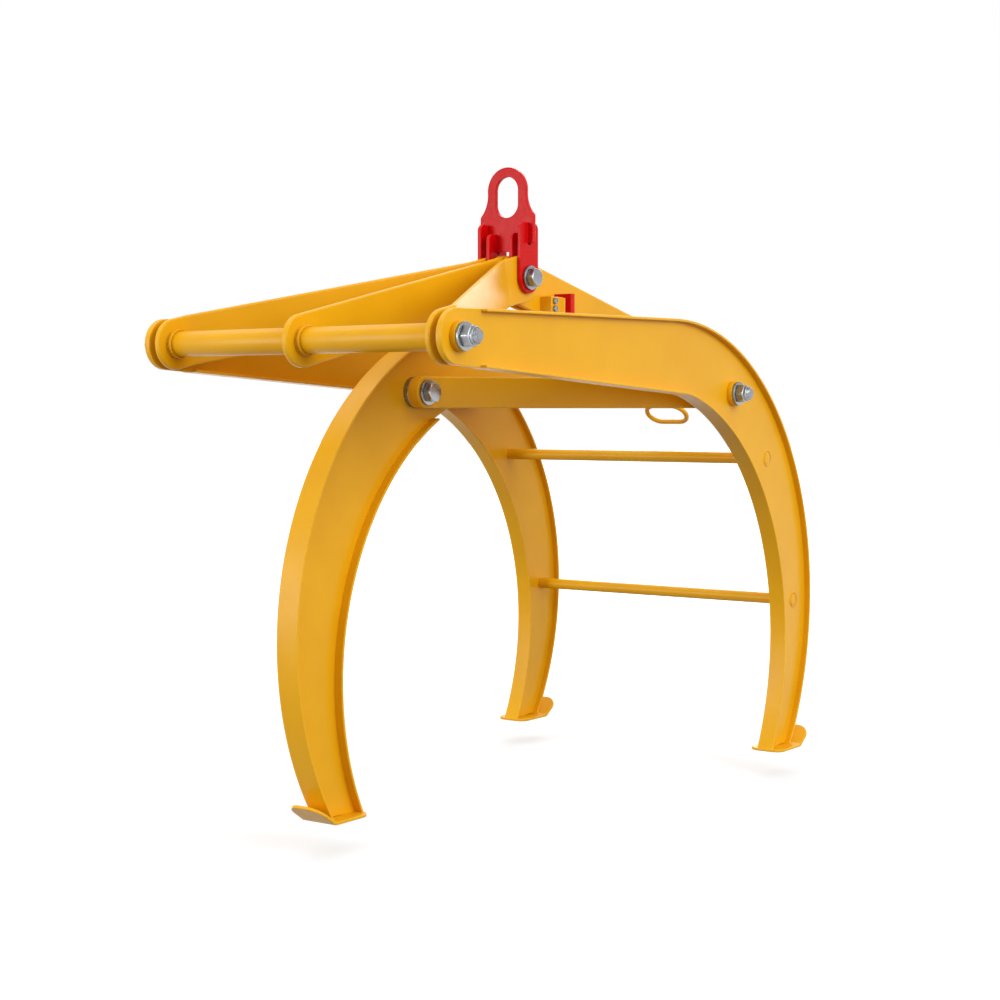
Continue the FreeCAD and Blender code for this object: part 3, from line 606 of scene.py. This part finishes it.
def zinc_plate(name):
    material = bpy.data.materials.new(name)
    material.use_nodes = True
    tree = material.node_tree
    tree.nodes.clear()
    place = add(tree, "ShaderNodeTexCoord").outputs["Object"]
    grain = add(tree, "ShaderNodeTexNoise", {"Vector": place, "Scale": 1 / zinc_grain, "Detail": 2.0})
    cloud = add(tree, "ShaderNodeTexNoise", {"Vector": place, "Scale": 1 / zinc_cloud, "Detail": 4.0})
    tone = add(tree, "ShaderNodeMix", {"Factor": cloud.outputs["Fac"], "A": linear("#7C8084"), "B": linear("#A6AAAE")},
               data_type="RGBA")
    rough = add(tree, "ShaderNodeMapRange", {"Value": cloud.outputs["Fac"], "From Min": 0.3, "From Max": 0.7,
                                             "To Min": 0.2, "To Max": 0.34})
    bump = add(tree, "ShaderNodeBump", {"Height": grain.outputs["Fac"], "Strength": 0.15, "Distance": 0.00006})
    shader = add(tree, "ShaderNodeBsdfPrincipled", {
        "Base Color": tone.outputs["Result"], "Metallic": 1.0, "Roughness": rough.outputs[0],
        "Normal": bump.outputs["Normal"]})
    add(tree, "ShaderNodeOutputMaterial", {"Surface": shader.outputs["BSDF"]})
    return material


zinc = zinc_plate("zinc_plated_steel")


def nylon_ring(name):
    material = bpy.data.materials.new(name)
    material.use_nodes = True
    tree = material.node_tree
    tree.nodes.clear()
    place = add(tree, "ShaderNodeTexCoord").outputs["Object"]
    mottle = add(tree, "ShaderNodeTexNoise", {"Vector": place, "Scale": 1 / zinc_cloud, "Detail": 2.0})
    tone = add(tree, "ShaderNodeMix", {"Factor": mottle.outputs["Fac"], "A": linear("#2F5F9E"), "B": linear("#3B6FB0")},
               data_type="RGBA")
    rough = add(tree, "ShaderNodeMapRange", {"Value": mottle.outputs["Fac"], "To Min": 0.4, "To Max": 0.6})
    shader = add(tree, "ShaderNodeBsdfPrincipled", {"Base Color": tone.outputs["Result"], "Roughness": rough.outputs[0],
                                                    "IOR": 1.53})
    add(tree, "ShaderNodeOutputMaterial", {"Surface": shader.outputs["BSDF"]})
    return material


def hexagonal(rows, x, z, count=72):
    """Hexagon bar turned about an axis along Y: at each row (y, limit) the radius is the hexagon's own,
    half the flats over the cosine of the angle from the middle of a flat, but no more than the limit."""
    rows = np.asarray(rows, float)
    a = np.linspace(0, 2 * np.pi, count, endpoint=False)
    hexagon = hex_flats / 2 / np.cos((a % (np.pi / 3)) - np.pi / 6)
    radius = np.minimum(hexagon[None], rows[:, 1:])
    points = np.stack([x + radius * np.cos(a), np.repeat(rows[:, :1], count, 1), z + radius * np.sin(a)], -1)
    return points.reshape(-1, 3), rows


def hex_head(seat, away, x, z):
    """Bolt head: chamfered at its outer face only, with a thin round bearing face under it."""
    corner = hex_flats / 2 / np.cos(np.pi / 6) - 0.4
    top = seat + away * head_height
    rows = [(seat, 0.0), (seat, 17.0), (seat + away * 0.8, corner)]
    rows += [(top - away * step, corner - (2.2 - step) * 1.6) for step in (2.2, 1.6, 1.1, 0.6, 0.2)]
    rows += [(top, 16.6), (top, 0.0)]
    points, rows = hexagonal(rows, x, z)
    return points, grid_faces(len(rows), 72, False), np.zeros(len(points))


def lock_nut_body(seat, away, x, z):
    """Nut chamfered on both sides, with the round collar that holds its nylon ring."""
    corner = hex_flats / 2 / np.cos(np.pi / 6) - 0.4
    top, outer = seat + away * nut_height, seat + away * (nut_height + nut_collar_height)
    rows = [(seat, bolt_radius), (seat, 17.0), (seat + away * 1.0, corner), (top - away * 2.4, corner)]
    rows += [(top - away * step, corner - (2.4 - step) * 1.6) for step in (1.6, 0.8, 0.2)]
    rows += [(top, 16.0), (top, 15.5), (outer - away * 1.4, 15.5), (outer - away * 0.5, 15.1), (outer, 14.2),
             (outer - away * 0.4, 13.8), (outer - away * 0.8, 13.6), (outer - away * 0.8, bolt_radius)]
    points, rows = hexagonal(rows, x, z)
    return points, grid_faces(len(rows), 72, True), np.zeros(len(points))


def threaded_end(start, end, x, z):
    """Shank's end with its thread: the radius falls by a triangle wave of the distance along less the share of
    a turn, one pitch for each turn, and the last 1.5 mm is chamfered."""
    away = np.sign(end - start)
    rows = int(abs(end - start) / 0.35) + 2
    y = np.linspace(start, end, rows)
    a = np.linspace(0, 2 * np.pi, 72, endpoint=False)
    phase = (np.abs(y - start)[:, None] / thread_pitch - a[None] / (2 * np.pi)) % 1.0
    radius = bolt_radius - thread_depth * np.abs(2 * phase - 1)
    tip = bolt_radius - 1.5 + np.abs(end - y)[:, None]
    radius = np.minimum(radius, np.maximum(tip, bolt_radius - thread_depth - 0.4))
    points = np.stack([x + radius * np.cos(a), np.repeat(y[:, None], 72, 1), z + radius * np.sin(a)], -1).reshape(-1, 3)
    pole = np.tile([[x, end, z]], (72, 1))
    inner = np.tile([[x, start, z]], (72, 1))
    points = np.concatenate([inner, points, pole])
    return points, grid_faces(rows + 2, 72, False), np.zeros(len(points))


def full_bolt(seat, end, x, z):
    """Head outside seat, plain shank, and the thread from inside the nut to the end."""
    away = np.sign(seat - end)
    thread_start = end + away * (nut_collar_height + thread_end + 2.0)
    shank = turned([(0, seat), (bolt_radius, seat), (bolt_radius, thread_start), (0, thread_start)], x, z)
    return joined([hex_head(seat, away, x, z), shank, threaded_end(thread_start, end, x, z)])


def washer(seat, away, x, z):
    low, high = sorted((seat, seat + away * washer_thickness))
    return turned(collar_profile(bolt_radius, washer_radius, low, high, 0.7), x, z)


def bush(inner, outer_radius, x, z, y_low, y_high):
    return turned(collar_profile(inner, outer_radius, y_low, y_high, 0.8), x, z)


def both(shape):
    return [shape, far_side(shape)]


pair_seat = boss_outer + face_gap + washer_thickness
nut_reach = nut_height + nut_collar_height + thread_end
tie_outer_single = tie_plane_single + tie_thickness / 2
tie_inner_single = tie_outer_single - tie_thickness
single_seat = tie_outer_single + washer_thickness
inner_seat = tie_plane_pair - tie_thickness / 2
px, pz = claw_pivot
sx, sz = arm_eye
plain_seat = plain_outer + washer_thickness
cheek_outer = 55.0
top_seat = cheek_outer + face_gap + washer_thickness

piece("tie_bushes", joined(both(bush(bolt_radius, bush_radius, -px, pz, -tie_inner_single, -single_web_thickness / 2 - face_gap))),
      zinc, "tie_frame", ["single_pivot_bushes"])
piece("single_bolt", full_bolt(-single_seat, single_seat + nut_reach, -px, pz), zinc, "tie_frame",
      ["single_pivot_bolt"])
piece("pair_bolts", joined(both(full_bolt(washer_thickness - inner_seat, -pair_seat - nut_reach, px, pz))), zinc,
      "tie_frame", ["pair_pivot_bolts"])
piece("tie_washers", joined(both(washer(-tie_outer_single, -1, -px, pz)) + both(washer(-inner_seat, 1, px, pz))
                            + both(washer(washer_thickness - pair_seat, -1, px, pz))),
      zinc, "tie_frame", ["pivot_washers"])
piece("tie_nuts", joined(both(lock_nut_body(-pair_seat, -1, px, pz)) + [lock_nut_body(single_seat, 1, -px, pz)]), zinc,
      "tie_frame", ["pivot_nuts"])
piece("shaft_bush_rings", joined(both(bush(bolt_radius, bush_radius, sx, sz, face_gap - web_inner, -link_outer))), zinc,
      "bent_links", ["shaft_bushes"])
piece("shaft_long_bolt", full_bolt(pair_seat, -pair_seat - nut_reach, sx, sz), zinc, "bent_links",
      ["shaft_bolt"])
piece("shaft_washer_rings", joined(both(washer(washer_thickness - pair_seat, -1, sx, sz))), zinc, "bent_links",
      ["shaft_washers"])
piece("shaft_lock_nut", lock_nut_body(-pair_seat, -1, sx, sz), zinc, "bent_links", ["shaft_nut"])
piece("link_long_bolt", full_bolt(-plain_seat, plain_seat + nut_reach, -sx, sz), zinc, "plain_links",
      ["link_bolt"])
piece("link_washer_rings", joined(both(washer(-plain_outer, -1, -sx, sz))), zinc, "plain_links",
      ["link_washers"])
piece("link_lock_nut", lock_nut_body(plain_seat, 1, -sx, sz), zinc, "plain_links", ["link_nut"])
piece("top_long_bolt", full_bolt(-top_seat, top_seat + nut_reach, 0, top_pin_z), zinc, "top_pin_set",
      ["top_pin"])
piece("top_washer_rings", joined(both(washer(washer_thickness - top_seat, -1, 0, top_pin_z))), zinc, "top_pin_set",
      ["top_pin_washers"])
piece("top_lock_nut", lock_nut_body(top_seat, 1, 0, top_pin_z), zinc, "top_pin_set", ["top_pin_nut"])
piece("top_spacer_rings", joined(both(bush(bolt_radius, washer_radius, 0, top_pin_z, face_gap - 25.0, -plain_outer - face_gap))),
      zinc, "top_pin_set", ["top_pin_spacers"])

nylon = nylon_ring("blue_nylon_insert")
for name, body, shapes in (
        ("tie_nut_inserts", "tie_frame", [(-pair_seat, -1, px, pz), (pair_seat, 1, px, pz), (single_seat, 1, -px, pz)]),
        ("shaft_nut_insert", "bent_links", [(-pair_seat, -1, sx, sz)]),
        ("link_nut_insert", "plain_links", [(plain_seat, 1, -sx, sz)]),
        ("top_nut_insert", "top_pin_set", [(top_seat, 1, 0, top_pin_z)])):
    rings = []
    for seat, away, x, z in shapes:
        outer = seat + away * (nut_height + nut_collar_height - 0.9)
        low, high = sorted((outer, outer - away * 2.5))
        rings.append(turned(collar_profile(bolt_radius - thread_depth, 13.7, low, high, 0.3), x, z, 48))
    piece(name, joined(rings), nylon, body)

# Hanger: four cheek plates 8 mm thick and a 10 mm lifting plate with a long eye, let down into slots in the
# cheeks' tops and welded. It is sprayed signal red with the same semi-gloss enamel.
# The red's rims are painted lighter too: wear plus a painted highlight along the edges.
red_enamel = machine_enamel("red_machine_enamel", "#CC050A", "#C20508", "#DE3836", 0.26, 0.13)
cheek_half = 32.0
cheek_corner = 14.0
cheek_thickness = 8.0
eye_thickness = 10.0
inner_cheek_face, outer_cheek_face = 25.0, 47.0
inner_cheek_top, outer_cheek_top = 1129.0, 1150.0
inner_slot_end, outer_slot_end = 1088.0, 1104.0
eye_head_z, eye_head_radius = 1218.7, 48.3
eye_slot_low, eye_slot_radius = 1191.0, 28.5


def cheek_loop(top, slot_end):
    """Outline of a cheek: half-round foot, straight sides, rounded shoulders, and the slot from its top."""
    half = eye_thickness / 2
    foot = circle(np.array([0, top_pin_z]), cheek_half, -np.pi, 0, 40)
    right = circle(np.array([cheek_half - cheek_corner, top - cheek_corner]), cheek_corner, 0, np.pi / 2, 12)
    slot = np.array([[half, top], [half, slot_end], [-half, slot_end], [-half, top]])
    left = circle(np.array([cheek_corner - cheek_half, top - cheek_corner]), cheek_corner, np.pi / 2, np.pi, 12)
    return np.concatenate([foot, right, slot, left])


for name, face, top, slot_end in (("inner", inner_cheek_face, inner_cheek_top, inner_slot_end),
                                  ("outer", outer_cheek_face, outer_cheek_top, outer_slot_end)):
    points, faces, rim_wear_and_highlight = rounded_plate(cheek_loop(top, slot_end), cheek_thickness)
    shape = at_side((points, faces, rim_wear_and_highlight), -face - cheek_thickness)
    piece("near_" + name + "_cheek_plate", shape, red_enamel, "hanger", ["near_" + name + "_cheek"])
    piece("far_" + name + "_cheek_plate", far_side(shape), red_enamel, "hanger", ["far_" + name + "_cheek"])

eye_middle = np.array([0.0, 1204.85])


def arc_through(a, b, c, count):
    """Points on the circle through a, b and c, from a to c: its centre solves equal distance to all three."""
    a, b, c = (np.array(p, float) for p in (a, b, c))
    rows = 2 * np.array([b - a, c - a])
    centre = np.linalg.solve(rows, [b @ b - a @ a, c @ c - a @ a])
    angles = np.unwrap([np.arctan2(*(p - centre)[::-1]) for p in (a, b, c)])
    return circle(centre, np.hypot(*(a - centre)), angles[0], angles[2], count)


def polar(outline, angles, centre):
    """Where rays from centre at the given angles leave a closed outline: the largest positive distance at
    which the ray crosses one of its edges."""
    a, b = outline - centre, np.roll(outline, -1, 0) - centre
    d = np.stack([np.cos(angles), np.sin(angles)], 1)
    edge = b - a
    across = d[:, None, 0] * edge[None, :, 1] - d[:, None, 1] * edge[None, :, 0]
    across = np.where(np.abs(across) < 1e-12, 1e-12, across)
    t = (a[None, :, 0] * edge[None, :, 1] - a[None, :, 1] * edge[None, :, 0]) / across
    u = (a[None, :, 0] * d[:, None, 1] - a[None, :, 1] * d[:, None, 0]) / across
    t = np.where((u >= -1e-6) & (u <= 1 + 1e-6) & (t > 0), t, 0)
    return centre + d * t.max(1)[:, None]


head = circle(np.array([0, eye_head_z]), eye_head_radius, 0, np.pi, 60)
left_neck = arc_through((-48.3, eye_head_z), (-52.0, 1189.5), (-67.0, 1166.0), 14)[1:]
left_corners = np.array([[-67.0, 1108.0], [-33.0, 1108.0], [-33.0, 1092.0]])
left_side = np.concatenate([left_neck, left_corners])
outer_eye = np.concatenate([head, left_side, (left_side * [-1, 1])[::-1]])
slot_head = circle(np.array([0, eye_head_z]), eye_slot_radius, 0, np.pi, 40)
slot_foot = circle(np.array([0, eye_slot_low]), eye_slot_radius, np.pi, 2 * np.pi, 40)
inner_eye = np.concatenate([slot_head, slot_foot])
corners = np.concatenate([outer_eye, inner_eye]) - eye_middle
rays = np.unique(np.round(np.arctan2(corners[:, 1], corners[:, 0]), 5))
on_outer = polar(outer_eye, rays, eye_middle)
sharp_corners = np.concatenate([left_neck[-1:], left_corners])
sharp_corners = np.concatenate([sharp_corners, sharp_corners * [-1, 1]])
from_corner = np.linalg.norm(on_outer[:, None] - sharp_corners[None], axis=2).min(1)
rays = rays[(from_corner > 5.0) | (from_corner < 0.05)]
eye_shape = rounded_plate(polar(outer_eye, rays, eye_middle), eye_thickness, 1.0, hole=polar(inner_eye, rays, eye_middle))
eye_points = np.column_stack([eye_shape[0][:, 2] - eye_thickness / 2, eye_shape[0][:, 0], eye_shape[0][:, 1]])
piece("lifting_plate", (eye_points, *eye_shape[1:]), red_enamel, "hanger", ["eye_plate"])

# Latch on the near plain link: an amber block held by two small bolts, with a red catch bar that stands off it
# and hooks over its top.
latch_low = -plain_outer - 28.0
latch_x, latch_end_x, latch_bar_x = 95.0, 140.0, 148.0
latch_z, latch_top = 964.0, 1003.0
latch_bar_low, latch_lip = 936.0, 8.0
latch_bar_width = 15.0
latch_bar_outer = latch_low - latch_bar_width


def rectangle(u_low, u_high, v_low, v_high):
    return np.array([[u_low, v_low], [u_high, v_low], [u_high, v_high], [u_low, v_high]], float)


block = rounded_plate(rectangle(latch_x, latch_end_x, latch_z, latch_top), 28.0, 1.5)
piece("latch_body", at_side(block, latch_low), amber_enamel, "plain_links", ["latch_block"])
catch = np.array([[latch_bar_outer, latch_bar_low], [latch_bar_outer + latch_bar_width, latch_bar_low],
                  [latch_bar_outer + latch_bar_width, latch_top], [-plain_outer, latch_top],
                  [-plain_outer, latch_top + latch_lip], [latch_bar_outer, latch_top + latch_lip]])
points, faces, rim_wear_and_highlight = rounded_plate(catch, latch_bar_width, 1.0)
piece("latch_hook", (np.column_stack([points[:, 2] + latch_bar_x, points[:, 0], points[:, 1]]), faces, rim_wear_and_highlight),
      red_enamel, "plain_links", ["latch_catch"])
small_bolts = []
for z in (latch_top - 9.0, latch_top - 26.0):
    a = np.linspace(0, 2 * np.pi, 48, endpoint=False)
    radius_rows = [(latch_low + 20.0, 0.0), (latch_low + 20.0, 4.0), (latch_low, 4.0), (latch_low, 6.5),
                   (latch_low - 0.5, 7.3), (latch_low - 4.2, 7.3), (latch_low - 5.0, 6.9), (latch_low - 5.5, 6.2),
                   (latch_low - 5.5, 0.0)]
    rows = np.array(radius_rows)
    hexagon = 6.5 / np.cos((a % (np.pi / 3)) - np.pi / 6)
    radius = np.minimum(hexagon[None], rows[:, 1:])
    grid = np.stack([latch_x + 12.0 + radius * np.cos(a), np.repeat(rows[:, :1], 48, 1), z + radius * np.sin(a)], -1)
    small_bolts.append((grid.reshape(-1, 3), grid_faces(len(rows), 48, False), np.zeros(48 * len(rows))))
piece("latch_small_bolts", joined(small_bolts), zinc, "plain_links", ["latch_bolts"])

# Guide handle: 11 mm round bar bent to an oval and welded shut, hung from a small bracket plate under the end
# of the single claw's arm, sloping out and down to the hand.
handle_rod, handle_bend, handle_straight = 5.5, 29.0, 45.8
handle_tilt = np.radians(40.6)
handle_low = np.array([683.3, 0.0, 733.4])
handle_away = np.array([np.cos(handle_tilt), 0, -np.sin(handle_tilt)])


def oval_rod():
    """Round rod carried along an oval of two straights and two half circles: centre line plus
    rod radius times (cos of the angle outwards + sin of the angle along the oval's normal)."""
    half = handle_straight / 2
    turn = np.linspace(-np.pi / 2, np.pi / 2, 32)
    right = np.column_stack([half + handle_bend * np.cos(turn), handle_bend * np.sin(turn)])
    flat_line = np.concatenate([right, -right])
    tangent = np.roll(flat_line, -1, 0) - np.roll(flat_line, 1, 0)
    tangent = tangent / np.linalg.norm(tangent, axis=1)[:, None]
    outward = np.column_stack([tangent[:, 1], -tangent[:, 0]])
    middle = handle_low - handle_away * handle_bend
    to_space = lambda uv: uv[..., :1] * [0, 1.0, 0] - uv[..., 1:] * handle_away
    normal = np.cross([0, 1.0, 0], handle_away)
    a = np.linspace(0, 2 * np.pi, 20, endpoint=False)
    points = (middle + to_space(flat_line))[:, None] + handle_rod * (
        np.cos(a)[None, :, None] * to_space(outward)[:, None] + np.sin(a)[None, :, None] * normal)
    return points.reshape(-1, 3), grid_faces(len(flat_line), 20, True), np.zeros(len(flat_line) * 20)


piece("handle_oval", oval_rod(), amber_enamel, "single_claw", ["guide_handle"])
handle_high = handle_low - 2 * handle_bend * handle_away
bracket = np.array([[handle_high[0] - 11, handle_high[2]], [handle_high[0] + 11, handle_high[2]],
                    [handle_high[0] + 20, 842.0], [handle_high[0] - 20, 842.0]])
piece("handle_bracket_plate", at_side(rounded_plate(bracket, 10.0, 1.0), -5.0), amber_enamel, "single_claw",
      ["handle_bracket"])

# Studio: soft lamps at a plain level, the camera where the photograph was taken from, and a pale floor. The
# lifter hangs 55 mm above the floor, because its feet swing 46 mm below their open level as it closes.
for name, energy, size, place, target in (
        ("front_softbox", 108.0, 3.2, (-0.5, -4.5, 2.8), (0, 0, 0.6)),
        ("low_softbox", 23.0, 2.5, (-1.0, -5.0, 1.4), (0, 0, 0.6)),
        ("left_softbox", 90.0, 2.4, (-4.3, 2.4, 1.1), (0, 0, 0.6)),
        ("top_softbox", 10.0, 1.4, (-0.4, 2.4, 4.0), (0, 0, 0.6)),
        ("right_softbox", 28.0, 1.4, (2.8, 1.0, 3.6), (0, 0, 0.6)),
        ("back_softbox", 60.0, 2.8, (4.3, 1.6, 1.9), (0, 0, 0.6))):
    lamp = bpy.data.lights.new(name, "AREA")
    lamp.energy = energy
    lamp.shape = "DISK"
    lamp.size = size
    holder = bpy.data.objects.new(name, lamp)
    holder.location = place
    holder.rotation_mode = "QUATERNION"
    holder.rotation_quaternion = (Vector(target) - Vector(place)).to_track_quat("-Z", "Y")
    bpy.context.scene.collection.objects.link(holder)

floor_mesh = bpy.data.meshes.new("studio_floor")
floor_half = 30.0
floor_drop = 0.055
floor_corners = [(-floor_half, -floor_half), (floor_half, -floor_half), (floor_half, floor_half), (-floor_half, floor_half)]
floor_mesh.from_pydata([(x, y, -floor_drop) for x, y in floor_corners], [], [(0, 1, 2, 3)])
floor = bpy.data.objects.new("studio_floor", floor_mesh)
bpy.context.scene.collection.objects.link(floor)
floor_material = bpy.data.materials.new("pale_studio_floor")
floor_material.use_nodes = True
tree = floor_material.node_tree
tree.nodes.clear()
seen = add(tree, "ShaderNodeLightPath")
either = add(tree, "ShaderNodeMath", {0: seen.outputs["Is Camera Ray"], 1: seen.outputs["Is Glossy Ray"]}, operation="MAXIMUM")
place = add(tree, "ShaderNodeTexCoord").outputs["Object"]
radius = add(tree, "ShaderNodeVectorMath", {0: place}, operation="LENGTH")
far_out = add(tree, "ShaderNodeMapRange", {"Value": radius.outputs["Value"], "From Min": 1.0, "From Max": 3.0,
                                           "To Min": 0.45, "To Max": 1.05})
matt = add(tree, "ShaderNodeBsdfDiffuse", {"Color": linear("#BCBCBC")})
dim = add(tree, "ShaderNodeBsdfDiffuse", {"Color": linear("#707070")})
glow = add(tree, "ShaderNodeEmission", {"Color": linear("#FFFFFF"), "Strength": far_out.outputs["Result"]})
lit = add(tree, "ShaderNodeAddShader", {0: matt.outputs[0], 1: glow.outputs[0]})
mixed = add(tree, "ShaderNodeMixShader", {0: either.outputs[0], 1: dim.outputs[0], 2: lit.outputs[0]})
add(tree, "ShaderNodeOutputMaterial", {"Surface": mixed.outputs[0]})
floor_mesh.materials.append(floor_material)

world = bpy.data.worlds.new("studio_world")
bpy.context.scene.world = world
world.use_nodes = True
tree = world.node_tree
tree.nodes.clear()
seen = add(tree, "ShaderNodeLightPath")
direct = add(tree, "ShaderNodeMath", {0: seen.outputs["Is Camera Ray"], 1: seen.outputs["Is Glossy Ray"]}, operation="MAXIMUM")
shown = add(tree, "ShaderNodeMath", {0: direct.outputs[0], 1: seen.outputs["Is Transmission Ray"]}, operation="MAXIMUM")
strength = add(tree, "ShaderNodeMapRange", {"Value": shown.outputs[0], "To Min": 0.9, "To Max": 1.0})
background = add(tree, "ShaderNodeBackground", {"Color": linear("#FFFFFF"), "Strength": strength.outputs[0]})
add(tree, "ShaderNodeOutputWorld", {"Surface": background.outputs[0]})

camera_data = bpy.data.cameras.new("photo_camera")
camera_data.sensor_width = 36.0
camera_data.lens = 65.55
camera_data.clip_end = 200.0
camera = bpy.data.objects.new("photo_camera", camera_data)
bpy.context.scene.collection.objects.link(camera)
yaw, pitch = 0.61766, 0.05075
forward = Vector((np.cos(yaw) * np.cos(pitch), np.sin(yaw) * np.cos(pitch), -np.sin(pitch)))
right = Vector((np.sin(yaw), -np.cos(yaw), 0.0))
up = right.cross(forward)
facing = Matrix((right, up, -forward)).transposed().to_4x4()
camera.matrix_world = Matrix.Translation((-3.12916, -2.20278, 0.76742)) @ facing
bpy.context.scene.camera = camera
bpy.context.scene.view_settings.view_transform = "Standard"
